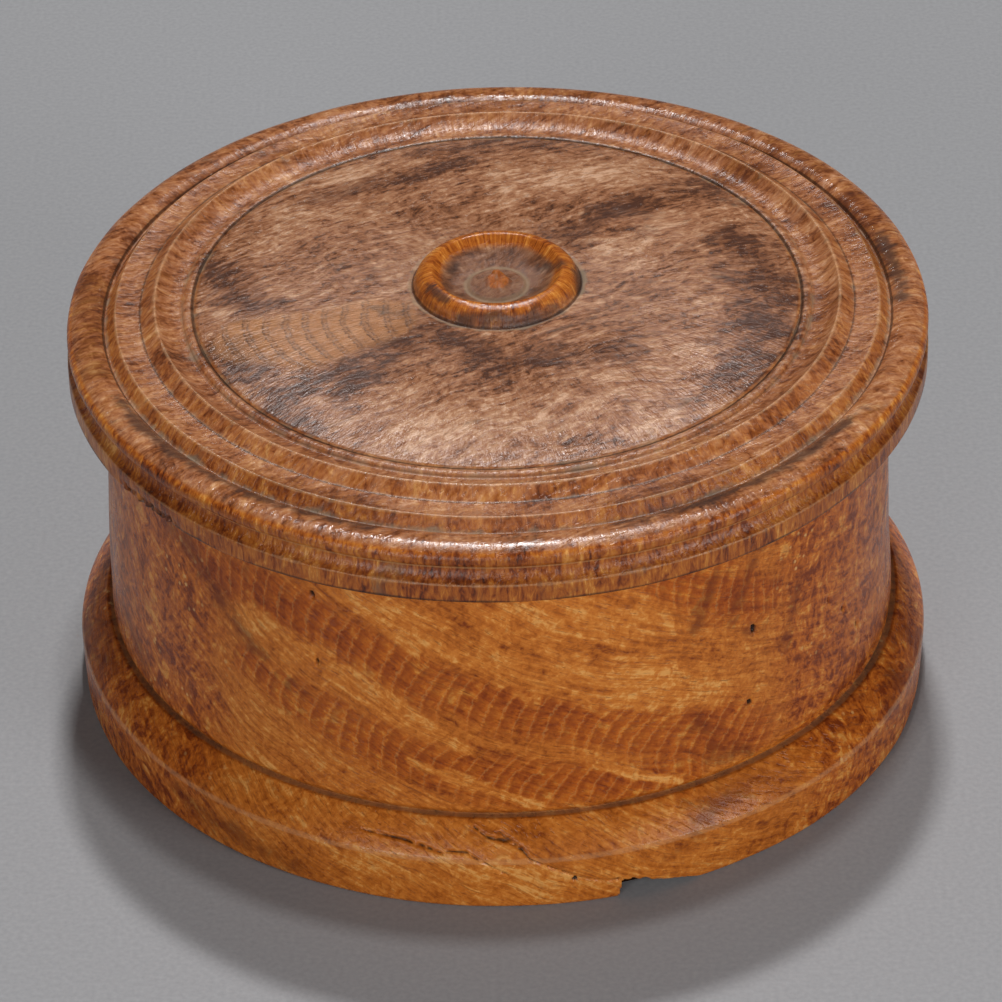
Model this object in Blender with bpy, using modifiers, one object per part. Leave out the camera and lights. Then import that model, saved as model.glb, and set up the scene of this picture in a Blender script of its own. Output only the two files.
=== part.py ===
"""Turned wooden box: a round footed body and a loose lid with a ring-shaped knob.

Metres, +Z up. The origin is the centre of the face that the box stands on, and the turning axis is Z.
-Y is the side with the chip in the foot. Both pieces are solids of revolution about Z.
"""

import math

import bmesh
import bpy
from mathutils import Matrix, Vector

# Body: wall and mouth
WALL_TOP_RADIUS = 0.0808
WALL_BASE_RADIUS = 0.0834
WALL_THICKNESS = 0.0085
WALL_BULGE = 0.0001
RIM_HEIGHT = 0.0762
RIM_ROUNDING = 0.0006
FLOOR_HEIGHT = 0.0125
FLOOR_FILLET = 0.0100

# Body: foot
FOOT_RADIUS = 0.0905
FOOT_BASE_INSET = 0.0005
FOOT_BASE_ROUNDING = 0.0008
FOOT_SHOULDER_HEIGHT = 0.0119
FOOT_ARRIS_ROUNDING = 0.0007
QUIRK_HEIGHT = 0.0188
QUIRK_DEPTH = 0.0007
QUIRK_WIDTH = 0.0012
FOOT_TOP_BULGE = 0.0004
RECESS_DEPTH = 0.0015
STANDING_RING_WIDTH = 0.0120

# Body: chip in the foot's lower edge
CHIP_LENGTH = 0.0172
CHIP_HEIGHT = 0.0034
CHIP_DEPTH = 0.0032
CHIP_ANGLE = math.radians(21.5)

# Lid: seat, spigot and hollow underneath
SEAT_GAP = 0.0003
SPIGOT_CLEARANCE = 0.0005
SPIGOT_DEPTH = 0.0060
SPIGOT_THICKNESS = 0.0050
SPIGOT_CHAMFER = 0.0010
LID_HOLLOW_DEPTH = 0.0035
LID_HOLLOW_CROWN = 0.0040

# Lid: edge, from the seat up
LID_RADIUS = 0.0890
LID_EDGE_HEIGHT = 0.0040
LID_EDGE_ROUNDING = 0.0004
COVE_HEIGHT = 0.0030
COVE_SETBACK = 0.0019
COVE_SINK = 0.0004
ROLL_SETBACK = 0.0002
ROLL_HALF_WIDTH = 0.0041
ROLL_HALF_HEIGHT = 0.0026
ROLL_INNER_ANGLE = 158.0
ROLL_OUTER_ANGLE = -50.0

# Lid: rings inside the roll, each width measured inwards from the ring outside it
LIST_HEIGHT = 0.0130
LIST_RISE_WIDTH = 0.0022
LIST_WIDTH = 0.0053
LIST_DISH = 0.0004
RIDGE_RISE = 0.0021
RIDGE_RISE_WIDTH = 0.0029
RIDGE_ROUNDING = 0.0008
INNER_GROOVE_WIDTH = 0.0056
INNER_GROOVE_DROP = 0.0006
BEAD_RADIUS = 0.0012
BEAD_RISE = 0.0008

# Lid: dome and knob
DOME_RIM_STEP = 0.0005
DOME_RISE = 0.0030
DOME_FULLNESS = 3.2
KNOB_BASE_RADIUS = 0.0180
KNOB_QUIRK_WIDTH = 0.0010
KNOB_QUIRK_DEPTH = 0.0003
KNOB_RING_WIDTH = 0.0036
KNOB_RISE = 0.0036
BOWL_DEPTH = 0.0044
BUTTON_RADIUS = 0.0062
BUTTON_RISE = 0.0007

# Turning
TURN_STEPS = 64
MERGE_DISTANCE = 0.00001
SHARP_ANGLE = math.radians(35.0)

# The material's look
LID_COLOUR = (0.270, 0.105, 0.036, 1.0)
BODY_COLOUR = (0.350, 0.120, 0.030, 1.0)
WAXED_ROUGHNESS = 0.38


def new_collection(name):
    """A collection linked to the scene."""
    collection = bpy.data.collections.new(name)
    bpy.context.scene.collection.children.link(collection)
    return collection


def wood(name, colour):
    """Waxed hardwood in one colour."""
    material = bpy.data.materials.new(name)
    material.use_nodes = True
    shader = material.node_tree.nodes["Principled BSDF"]
    shader.inputs["Base Color"].default_value = colour
    shader.inputs["Roughness"].default_value = WAXED_ROUGHNESS
    shader.inputs["Metallic"].default_value = 0.0
    return material


def arc(centre, radii, start, end, steps):
    """Points (radius, height) along an elliptical arc, both ends included; angles in degrees from +X."""
    points = []
    for step in range(steps + 1):
        angle = math.radians(start + (end - start) * step / steps)
        points.append((centre[0] + radii[0] * math.cos(angle), centre[1] + radii[1] * math.sin(angle)))
    return points


def hollow(start, end, sink, steps):
    """Points strictly between start and end on a shallow curve that sinks below the straight line."""
    run = Vector((end[0] - start[0], end[1] - start[1]))
    side = Vector((-run.y, run.x)).normalized()
    points = []
    for step in range(1, steps):
        share = step / steps
        bow = sink * 4.0 * share * (1.0 - share)
        points.append((start[0] + run.x * share + side.x * bow, start[1] + run.y * share + side.y * bow))
    return points


def turned(name, profile, material, collection):
    """A solid of revolution about Z, from a profile that runs down its outer side."""
    mesh = bpy.data.meshes.new(name + "_profile")
    mesh.from_pydata(
        [(radius, 0.0, height) for radius, height in profile],
        [(index, index + 1) for index in range(len(profile) - 1)],
        [],
    )
    lathe = bpy.data.objects.new(name + "_profile", mesh)
    collection.objects.link(lathe)
    screw = lathe.modifiers.new("Lathe", "SCREW")
    screw.axis = "Z"
    screw.angle = math.tau
    screw.steps = TURN_STEPS
    screw.render_steps = TURN_STEPS
    screw.use_merge_vertices = True
    screw.merge_threshold = MERGE_DISTANCE
    bpy.context.view_layer.update()
    evaluated = lathe.evaluated_get(bpy.context.evaluated_depsgraph_get())
    solid = bpy.data.meshes.new_from_object(evaluated)
    solid.name = name
    solid.shade_smooth()
    solid.set_sharp_from_angle(angle=SHARP_ANGLE)
    solid.materials.clear()
    solid.materials.append(material)
    piece = bpy.data.objects.new(name, solid)
    collection.objects.link(piece)
    bpy.data.objects.remove(lathe)
    bpy.data.meshes.remove(mesh)
    return piece


def body_profile():
    """The body's section: from the middle of the floor, up the inside, over the rim and down the outside."""
    mouth = WALL_TOP_RADIUS - WALL_THICKNESS
    foot_base = FOOT_RADIUS - FOOT_BASE_INSET
    quirk_mouth = WALL_BASE_RADIUS + QUIRK_WIDTH
    quirk_bottom = WALL_BASE_RADIUS - QUIRK_DEPTH
    recess = foot_base - STANDING_RING_WIDTH
    shoulder = (FOOT_RADIUS - FOOT_ARRIS_ROUNDING, FOOT_SHOULDER_HEIGHT + FOOT_ARRIS_ROUNDING)
    foot_top = (quirk_mouth, QUIRK_HEIGHT)
    points = [(0.0, FLOOR_HEIGHT)]
    fillet_centre = (mouth - FLOOR_FILLET, FLOOR_HEIGHT + FLOOR_FILLET)
    points += arc(fillet_centre, (FLOOR_FILLET, FLOOR_FILLET), 270.0, 360.0, 5)
    inner_rounding = (mouth + RIM_ROUNDING, RIM_HEIGHT - RIM_ROUNDING)
    points += arc(inner_rounding, (RIM_ROUNDING, RIM_ROUNDING), 180.0, 90.0, 2)
    outer_rounding = (WALL_TOP_RADIUS - RIM_ROUNDING, RIM_HEIGHT - RIM_ROUNDING)
    points += arc(outer_rounding, (RIM_ROUNDING, RIM_ROUNDING), 90.0, 0.0, 2)
    wall_base = (WALL_BASE_RADIUS, QUIRK_HEIGHT + QUIRK_WIDTH)
    points += hollow(points[-1], wall_base, WALL_BULGE, 4)
    points.append(wall_base)
    points.append((quirk_bottom, QUIRK_HEIGHT))
    points.append(foot_top)
    points += hollow(foot_top, shoulder, FOOT_TOP_BULGE, 4)
    points.append(shoulder)
    points.append((FOOT_RADIUS, FOOT_SHOULDER_HEIGHT))
    base_rounding = (foot_base - FOOT_BASE_ROUNDING, FOOT_BASE_ROUNDING)
    points += arc(base_rounding, (FOOT_BASE_ROUNDING, FOOT_BASE_ROUNDING), 0.0, -90.0, 2)
    points.append((recess, 0.0))
    points.append((recess - RECESS_DEPTH, RECESS_DEPTH))
    points.append((0.0, RECESS_DEPTH))
    return points


def lid_profile():
    """The lid's section: from the middle of the knob, out over the dome and rings, and in underneath."""
    seat = RIM_HEIGHT + SEAT_GAP
    cove_top = (LID_RADIUS - COVE_SETBACK, LID_EDGE_HEIGHT + COVE_HEIGHT)
    roll_centre = (LID_RADIUS - ROLL_SETBACK - ROLL_HALF_WIDTH, cove_top[1] + ROLL_HALF_HEIGHT)
    roll = arc(roll_centre, (ROLL_HALF_WIDTH, ROLL_HALF_HEIGHT), ROLL_INNER_ANGLE, ROLL_OUTER_ANGLE, 11)
    list_edge = roll[0][0] - LIST_RISE_WIDTH
    ridge_foot = list_edge - LIST_WIDTH
    ridge = ridge_foot - RIDGE_RISE_WIDTH
    ridge_height = LIST_HEIGHT + RIDGE_RISE
    bead_edge = ridge - INNER_GROOVE_WIDTH
    dome_rim = bead_edge - 2.0 * BEAD_RADIUS
    groove_height = LIST_HEIGHT - INNER_GROOVE_DROP
    dome_crown = groove_height + DOME_RIM_STEP + DOME_RISE
    knob_radius = KNOB_BASE_RADIUS - KNOB_QUIRK_WIDTH
    crest = (knob_radius - KNOB_RING_WIDTH, dome_crown + KNOB_RISE)
    bowl_height = crest[1] - BOWL_DEPTH

    points = [(0.0, bowl_height + BUTTON_RISE)]
    points.append((BUTTON_RADIUS - BUTTON_RISE, bowl_height + BUTTON_RISE))
    points.append((BUTTON_RADIUS, bowl_height))
    points += hollow(points[-1], crest, -BOWL_DEPTH / 6.0, 4)
    points += arc((crest[0], dome_crown), (KNOB_RING_WIDTH, KNOB_RISE), 90.0, 10.0, 5)
    points.append((KNOB_BASE_RADIUS - KNOB_QUIRK_WIDTH / 2.0, dome_crown - KNOB_QUIRK_DEPTH))
    dome_steps = 9
    for step in range(dome_steps + 1):
        share = step / dome_steps
        radius = KNOB_BASE_RADIUS + (dome_rim - KNOB_BASE_RADIUS) * share
        points.append((radius, dome_crown - DOME_RISE * share**DOME_FULLNESS))
    points.append((dome_rim, groove_height))
    points += arc((dome_rim + BEAD_RADIUS, groove_height), (BEAD_RADIUS, BEAD_RISE), 135.0, 0.0, 3)
    ridge_shoulder = (ridge - RIDGE_ROUNDING, ridge_height - RIDGE_ROUNDING / 2.0)
    points += hollow(points[-1], ridge_shoulder, -RIDGE_ROUNDING, 3)
    points.append(ridge_shoulder)
    points.append((ridge, ridge_height))
    points.append((ridge + RIDGE_ROUNDING, ridge_height - RIDGE_ROUNDING))
    points.append((ridge_foot, LIST_HEIGHT - LIST_DISH))
    points += hollow(points[-1], (list_edge, LIST_HEIGHT), -LIST_DISH / 2.0, 2)
    points.append((list_edge, LIST_HEIGHT))
    points += roll
    points.append(cove_top)
    arris = (LID_RADIUS, LID_EDGE_HEIGHT)
    points += hollow(cove_top, arris, -COVE_SINK, 3)
    points.append(arris)
    points.append((LID_RADIUS, LID_EDGE_ROUNDING))
    points.append((LID_RADIUS - LID_EDGE_ROUNDING, 0.0))

    spigot = WALL_TOP_RADIUS - WALL_THICKNESS - SPIGOT_CLEARANCE
    spigot_inside = spigot - SPIGOT_THICKNESS
    points.append((spigot, 0.0))
    points.append((spigot, SPIGOT_CHAMFER - SPIGOT_DEPTH))
    points.append((spigot - SPIGOT_CHAMFER, -SPIGOT_DEPTH))
    points.append((spigot_inside, -SPIGOT_DEPTH))
    points.append((spigot_inside, LID_HOLLOW_DEPTH))
    crown_steps = 4
    for step in range(1, crown_steps + 1):
        share = 1.0 - step / crown_steps
        height = LID_HOLLOW_DEPTH + LID_HOLLOW_CROWN * (1.0 - share**2)
        points.append((spigot_inside * share, height))
    return [(radius, seat + height) for radius, height in points]


def chip_cutter(collection):
    """A flattened, uneven pebble that bites a piece out of the foot's lower edge."""
    shape = bmesh.new()
    bmesh.ops.create_icosphere(shape, subdivisions=1, radius=1.0)
    for vertex in shape.verts:
        unevenness = 1.0 + 0.14 * math.sin(5.0 * vertex.co.x + 3.0 * vertex.co.z)
        vertex.co *= unevenness
    size = Matrix.Diagonal((CHIP_LENGTH / 2.0, CHIP_DEPTH, CHIP_HEIGHT, 1.0))
    bmesh.ops.transform(shape, matrix=size, verts=shape.verts)
    mesh = bpy.data.meshes.new("chip_cutter")
    shape.to_mesh(mesh)
    shape.free()
    cutter = bpy.data.objects.new("chip_cutter", mesh)
    edge = FOOT_RADIUS - FOOT_BASE_INSET
    cutter.location = (edge * math.sin(CHIP_ANGLE), -edge * math.cos(CHIP_ANGLE), 0.0)
    cutter.rotation_euler = (0.0, 0.0, CHIP_ANGLE)
    cutter.hide_render = True
    cutter.display_type = "WIRE"
    collection.objects.link(cutter)
    return cutter


for old in list(bpy.data.objects):
    bpy.data.objects.remove(old)

parts = new_collection("turned_wooden_box")
cutters = new_collection("cutters")

body = turned("box_body", body_profile(), wood("body_wood", BODY_COLOUR), parts)
chip = body.modifiers.new("Chip", "BOOLEAN")
chip.operation = "DIFFERENCE"
chip.solver = "EXACT"
chip.object = chip_cutter(cutters)

turned("lid", lid_profile(), wood("lid_wood", LID_COLOUR), parts)
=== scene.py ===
"""Looks of the turned wooden box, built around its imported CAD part.

Metres, +Z up. The turning axis is Z, -Y is the front, and angles round the box are in degrees from the
front, with the right-hand side positive.
"""

import math

import bpy
import numpy as np
from mathutils import Matrix, Vector, noise


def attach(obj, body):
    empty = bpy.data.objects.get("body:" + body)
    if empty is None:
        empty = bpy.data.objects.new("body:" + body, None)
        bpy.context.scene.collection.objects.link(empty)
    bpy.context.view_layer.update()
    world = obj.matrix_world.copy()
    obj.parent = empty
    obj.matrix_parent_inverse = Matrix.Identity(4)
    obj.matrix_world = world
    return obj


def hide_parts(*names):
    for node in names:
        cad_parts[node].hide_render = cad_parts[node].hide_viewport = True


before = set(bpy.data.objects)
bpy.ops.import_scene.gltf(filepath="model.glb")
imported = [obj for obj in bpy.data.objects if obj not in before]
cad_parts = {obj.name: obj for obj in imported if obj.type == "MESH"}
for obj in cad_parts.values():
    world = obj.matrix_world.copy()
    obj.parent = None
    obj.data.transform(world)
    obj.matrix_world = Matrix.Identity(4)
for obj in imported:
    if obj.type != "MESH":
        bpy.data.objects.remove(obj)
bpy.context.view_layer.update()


# Box body, its shape
# One block of figured hardwood, turned to a round box with a slightly flaring wall on a moulded foot. Years
# of use chipped the foot's lower edge and opened cracks in it, and worms left a few holes in the wall.

WALL_TOP_RADIUS = 0.0808
WALL_BASE_RADIUS = 0.0834
WALL_THICKNESS = 0.0085
WALL_BULGE = 0.0001
RIM_HEIGHT = 0.0762
RIM_EASE = 0.0007
FLOOR_HEIGHT = 0.0125
FLOOR_FILLET = 0.0100
FOOT_RADIUS = 0.0905
FOOT_BASE_INSET = 0.0005
FOOT_BASE_EASE = 0.0010
FOOT_SHOULDER_HEIGHT = 0.0123
FOOT_ARRIS_EASE = 0.0010
QUIRK_HEIGHT = 0.0188
QUIRK_DEPTH = 0.0007
QUIRK_WIDTH = 0.0012
QUIRK_EASE = 0.0003
FOOT_TOP_BULGE = 0.0004
RECESS_DEPTH = 0.0015
STANDING_RING_WIDTH = 0.0120
BODY_SHRINKAGE_SHARE = 0.996
FOOT_SWELLING = 0.0007
FOOT_SWELLING_ANGLE = 60.0
WALL_OFFSET = -0.0005
FOOT_SWELLING_REACH = 38
FINE_ROW = 0.00035
WALL_ROW = 0.0010
HIDDEN_ROW = 0.0040
FULL_TURN = 360
BESIDE_MARK = 0.25
CLOSEST_COLUMNS = 0.1


def arc(centre, radii, start, end, steps):
    """Points (radius, height) along an elliptical arc; angles in degrees from the outward direction."""
    turns = np.radians(np.linspace(start, end, steps + 1))
    return [(centre[0] + radii[0] * math.cos(turn), centre[1] + radii[1] * math.sin(turn)) for turn in turns]


def bowed(start, end, bow, steps):
    """Points strictly between start and end on a shallow curve that leaves the straight line by bow."""
    run = Vector((end[0] - start[0], end[1] - start[1]))
    side = Vector((-run.y, run.x)).normalized()
    points = []
    for share in np.linspace(0, 1, steps + 1)[1:-1]:
        away = bow * 4 * share * (1 - share)
        points.append((start[0] + run.x * share + side.x * away, start[1] + run.y * share + side.y * away))
    return points


def eased(corners, steps=4):
    """A section with each corner (radius, height, ease) rounded off from ease before it to ease after it."""
    spots = [np.array(corner[:2], float) for corner in corners]
    points = [spots[0]]
    for before, corner, here, after in zip(spots, corners[1:], spots[1:], spots[2:]):
        ease = corner[2] if len(corner) > 2 else 0
        if not ease:
            points.append(here)
            continue
        start = here + (before - here) * min(ease / np.linalg.norm(before - here), 0.5)
        end = here + (after - here) * min(ease / np.linalg.norm(after - here), 0.5)
        for share in np.linspace(0, 1, steps + 1):
            points.append((1 - share) ** 2 * start + 2 * share * (1 - share) * here + share**2 * end)
    return points + [spots[-1]]


def closer(points, longest):
    """The same section with its long runs cut up, where longest gives the longest run at a place."""
    line = [points[0]]
    for start, end in zip(points, points[1:]):
        pieces = math.ceil(np.linalg.norm(end - start) / longest((start + end) / 2))
        for piece in range(1, pieces + 1):
            line.append(start + (end - start) * piece / pieces)
    return np.array(line)


def columns(coarse, zones, marks=()):
    """Angles round the piece in degrees, close together in zones (start, end, step) and beside each mark."""
    angles = list(np.arange(-FULL_TURN / 2, FULL_TURN / 2, coarse))
    for start, end, step in zones:
        angles += list(np.arange(start, end, step))
    for mark in marks:
        angles += [mark - BESIDE_MARK, mark, mark + BESIDE_MARK]
    kept = [-FULL_TURN / 2]
    for angle in sorted(angles):
        if angle - kept[-1] > CLOSEST_COLUMNS:
            kept.append(angle)
    return np.array(kept)


def spun(line, angles):
    """Places and outward directions of the section's points at each angle, less its ends on the axis."""
    along = np.gradient(line, axis=0)
    out = np.stack([-along[:, 1], along[:, 0]], -1)
    out = (out / np.linalg.norm(out, axis=1, keepdims=True))[1:-1]
    ring = line[1:-1]
    turns = np.radians(angles)
    round_x, round_y = np.sin(turns)[:, None], -np.cos(turns)[:, None]
    level = np.ones_like(round_x)
    places = np.stack([round_x * ring[:, 0], round_y * ring[:, 0], level * ring[:, 1]], -1)
    facing = np.stack([round_x * out[:, 0], round_y * out[:, 0], level * out[:, 1]], -1)
    return places, facing


def skinned(name, places, ends, marks):
    """A closed mesh over the grid of places, with its marks kept on the vertices as shares."""
    many, rows = places.shape[:2]
    verts = np.concatenate([places.reshape(-1, 3), np.array(ends)])
    column, row = np.meshgrid(np.arange(many), np.arange(rows - 1), indexing="ij")
    beside = (column + 1) % many
    quads = np.stack(
        [column * rows + row, column * rows + row + 1, beside * rows + row + 1, beside * rows + row], -1
    ).reshape(-1, 4)
    turn = np.arange(many)
    after = (turn + 1) % many
    first, last = many * rows, many * rows + 1
    top = np.stack([np.full(many, first), turn * rows, after * rows], -1)
    under = np.stack([np.full(many, last), after * rows + rows - 1, turn * rows + rows - 1], -1)
    mesh = bpy.data.meshes.new(name)
    mesh.from_pydata(verts.tolist(), [], quads.tolist() + top.tolist() + under.tolist())
    mesh.shade_smooth()
    for mark, shares in marks.items():
        layer = mesh.attributes.new(mark, "FLOAT", "POINT")
        layer.data.foreach_set("value", np.concatenate([shares.ravel(), [0, 0]]).astype(np.float32))
    piece = bpy.data.objects.new(name, mesh)
    bpy.context.scene.collection.objects.link(piece)
    return piece


def smooth(value, start, end):
    """0 before start, 1 after end and a soft change between them."""
    share = np.clip((value - start) / (end - start), 0, 1)
    return share * share * (3 - 2 * share)


def unevenness(places, grain, seed=0.0):
    """Smooth random shares from about -1 to 1, one for each place, that change over the length grain."""
    spots = places.reshape(-1, 3) / grain + seed
    return np.array([noise.noise(spot) for spot in spots.tolist()]).reshape(places.shape[:-1])


def drawn(spots, points):
    """How near each spot lies to a drawn line of points (x, y, half width): 1 on it, 0 at the half width."""
    share = np.zeros(spots.shape[:-1])
    for start, end in zip(points, points[1:]):
        start, end = np.array(start), np.array(end)
        run = end[:2] - start[:2]
        place = np.clip((spots - start[:2]) @ run / (run @ run), 0, 1)
        away = np.linalg.norm(spots - start[:2] - place[..., None] * run, axis=-1)
        share = np.maximum(share, 1 - away / (start[2] + (end[2] - start[2]) * place))
    return share


mouth = WALL_TOP_RADIUS - WALL_THICKNESS
foot_base = FOOT_RADIUS - FOOT_BASE_INSET
recess = foot_base - STANDING_RING_WIDTH
foot_top = (WALL_BASE_RADIUS + QUIRK_WIDTH, QUIRK_HEIGHT)
shoulder = (FOOT_RADIUS, FOOT_SHOULDER_HEIGHT)
wall_base = (WALL_BASE_RADIUS, QUIRK_HEIGHT + QUIRK_WIDTH)
body_corners = [(0, FLOOR_HEIGHT)]
fillet_centre = (mouth - FLOOR_FILLET, FLOOR_HEIGHT + FLOOR_FILLET)
body_corners += arc(fillet_centre, (FLOOR_FILLET, FLOOR_FILLET), 270, 360, 10)
body_corners += [(mouth, RIM_HEIGHT, RIM_EASE), (WALL_TOP_RADIUS, RIM_HEIGHT, RIM_EASE)]
body_corners += bowed((WALL_TOP_RADIUS, RIM_HEIGHT), wall_base, WALL_BULGE, 6)
body_corners += [(*wall_base, QUIRK_EASE), (WALL_BASE_RADIUS - QUIRK_DEPTH, QUIRK_HEIGHT, QUIRK_EASE)]
body_corners += [(*foot_top, QUIRK_EASE)]
body_corners += bowed(foot_top, shoulder, FOOT_TOP_BULGE, 8)
body_corners += [(*shoulder, FOOT_ARRIS_EASE), (foot_base, 0, FOOT_BASE_EASE)]
body_corners += [(recess, 0, QUIRK_EASE), (recess - RECESS_DEPTH, RECESS_DEPTH, QUIRK_EASE)]
body_corners += [(0, RECESS_DEPTH)]


def body_row(place):
    """How close the body's rows lie: close on the foot's outside, wider on the wall, wide where it hides."""
    if place[0] < mouth + RIM_EASE:
        return HIDDEN_ROW
    return WALL_ROW if place[1] > QUIRK_HEIGHT + QUIRK_WIDTH else FINE_ROW


# Worm holes: angle, height, width and depth of each.
WORM_HOLES = [
    (-27.0, 0.0667, 0.0010, 0.0018),
    (-26.3, 0.0513, 0.0009, 0.0016),
    (38.0, 0.0505, 0.0013, 0.0010),
    (37.2, 0.0332, 0.0009, 0.0012),
    (54.0, 0.0457, 0.0008, 0.0010),
    (58.2, 0.0395, 0.0008, 0.0010),
    (62.2, 0.0325, 0.0008, 0.0010),
    (8.8, 0.0067, 0.0009, 0.0010),
]

# Cracks in the foot, each a line of (angle, height, half width); the longest runs down into the chip.
FOOT_CRACKS = [
    [(-19.0, 0.0156, 0.0002), (-13.5, 0.0152, 0.0004), (-10.8, 0.0145, 0.0005), (-8.0, 0.0135, 0.0002)],
    [(-7.6, 0.0140, 0.0002), (-5.0, 0.0139, 0.0004), (-3.0, 0.0123, 0.0004), (0.2, 0.0089, 0.0002)],
    [(-4.2, 0.0178, 0.0003), (-2.2, 0.0163, 0.0004), (0.5, 0.0158, 0.0006), (2.2, 0.0143, 0.0005)],
    [(2.2, 0.0143, 0.0005), (3.2, 0.0126, 0.0003), (6.2, 0.0099, 0.0003), (9.5, 0.0069, 0.0003)],
    [(9.5, 0.0069, 0.0003), (12.6, 0.0052, 0.0003), (14.6, 0.0048, 0.0005)],
    [(-0.8, 0.0172, 0.0002), (0.5, 0.0158, 0.0006), (1.2, 0.0150, 0.0004)],
]
CRACK_DEPTH = 0.0007
CRACK_FULLNESS_SHARE = 1.4
FOOT_COLUMNS = (-75, 75, 0.6)
CHIP_COLUMNS = (-20, 27, 0.22)
BODY_COLUMN_STEP = 1.5

body_line = closer(eased(body_corners), body_row)
body_angles = columns(BODY_COLUMN_STEP, [FOOT_COLUMNS, CHIP_COLUMNS], [hole[0] for hole in WORM_HOLES])
body_places, body_facing = spun(body_line, body_angles)
angle = body_angles[:, None] + np.zeros(body_places.shape[:2])
height = body_places[..., 2].copy()
radius = np.hypot(body_places[..., 0], body_places[..., 1])
outside = radius > mouth + RIM_EASE
on_foot = outside & (height < QUIRK_HEIGHT + QUIRK_WIDTH / 2)

# Chip in the foot's lower edge: a shallow shell broken out along the grain, steep at its left end.
CHIP_START, CHIP_END = 14.6, 26.5
CHIP_HEIGHT = 0.0050
CHIP_DEPTH = 0.0042
CHIP_STEEP_END = 0.7
CHIP_BREAK = 0.0002
FINE_BREAKS, COARSE_BREAKS = 0.0016, 0.0045
ragged = unevenness(body_places, FINE_BREAKS) * 0.35 + unevenness(body_places, COARSE_BREAKS, 3.0) * 0.5
chip_share = np.clip((CHIP_END - angle) / (CHIP_END - CHIP_START), 0, 1)
chip_share = smooth(angle, CHIP_START, CHIP_START + CHIP_STEEP_END) * chip_share
chip_top = CHIP_HEIGHT * chip_share * (1 + ragged * 0.5)
chipped = 1 - smooth(height, chip_top * 0.75, chip_top + CHIP_BREAK)
chipped = np.where(on_foot | (radius > recess), chipped, 0)
chip_here = (chip_share > 0.02) & (body_facing[..., 2] < 0.9) & (height < CHIP_HEIGHT * 1.4)
chipped = np.where(chip_here, chipped, 0)
chip_in = chipped * chip_share * CHIP_DEPTH * (1 + ragged * 0.4)
chip_up = np.where(height < CHIP_HEIGHT, chipped * np.maximum(chip_top - height, 0), 0)
outward = np.stack([body_places[..., 0], body_places[..., 1], height * 0], -1) / radius[..., None]
body_places -= outward * np.where(radius > foot_base - CHIP_DEPTH, chip_in, 0)[..., None]
body_places[..., 2] += np.where(radius > foot_base - CHIP_DEPTH, chip_up, 0)

# Worm holes, as small round pits.
pitted = np.zeros_like(height)
for hole_angle, hole_height, hole_width, hole_depth in WORM_HOLES:
    across = np.radians(angle - hole_angle) * radius
    away = np.hypot(across, height - hole_height)
    pit = np.where(outside, 1 - smooth(away, hole_width * 0.3, hole_width * 0.75), 0)
    body_places -= body_facing * (pit * hole_depth)[..., None]
    pitted = np.maximum(pitted, pit)

# Cracks, as narrow uneven grooves.
CRACK_BREAKS = 0.0012
spread_out = np.stack([np.radians(angle) * FOOT_RADIUS, height], -1)
cracked = np.zeros_like(height)
for crack in FOOT_CRACKS:
    line = [(math.radians(at) * FOOT_RADIUS, up, width) for at, up, width in crack]
    cracked = np.maximum(cracked, np.clip(drawn(spread_out, line) * CRACK_FULLNESS_SHARE, 0, 1))
cracked = np.where(on_foot, cracked * np.clip(0.8 + unevenness(body_places, CRACK_BREAKS, 7.0), 0, 1), 0)
body_places -= body_facing * (cracked * CRACK_DEPTH)[..., None]

# Slight waves that hand turning and a century of handling leave.
TURNING_WAVE = 0.00007
BODY_WAVELENGTH = 0.014
waves = unevenness(body_places, BODY_WAVELENGTH, 11.0) * TURNING_WAVE * outside
body_places += body_facing * waves[..., None]

# Shrinkage across the grain, and the rim's lean that lets the lid sit level with it.
LEAN_TO_RIGHT = 0.01079
LEAN_TO_BACK = 0.01326
STANDING_HEIGHT = 0.002
body_places[..., 1] *= np.where(outside, BODY_SHRINKAGE_SHARE, 1)
swelling = 1 - smooth(np.abs(angle - FOOT_SWELLING_ANGLE), 0, FOOT_SWELLING_REACH)
swelling = FOOT_SWELLING * swelling * on_foot
body_places += outward * swelling[..., None]
wall_share = np.where(outside, smooth(height, QUIRK_HEIGHT, 2 * QUIRK_HEIGHT), 0)
body_places[..., 0] += WALL_OFFSET * wall_share
lean_share = np.clip(height / RIM_HEIGHT, 0, 1)
lean = body_places[..., 0] * LEAN_TO_RIGHT + body_places[..., 1] * LEAN_TO_BACK
body_places[..., 2] += lean * lean_share * (body_places[..., 2] > STANDING_HEIGHT)

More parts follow.
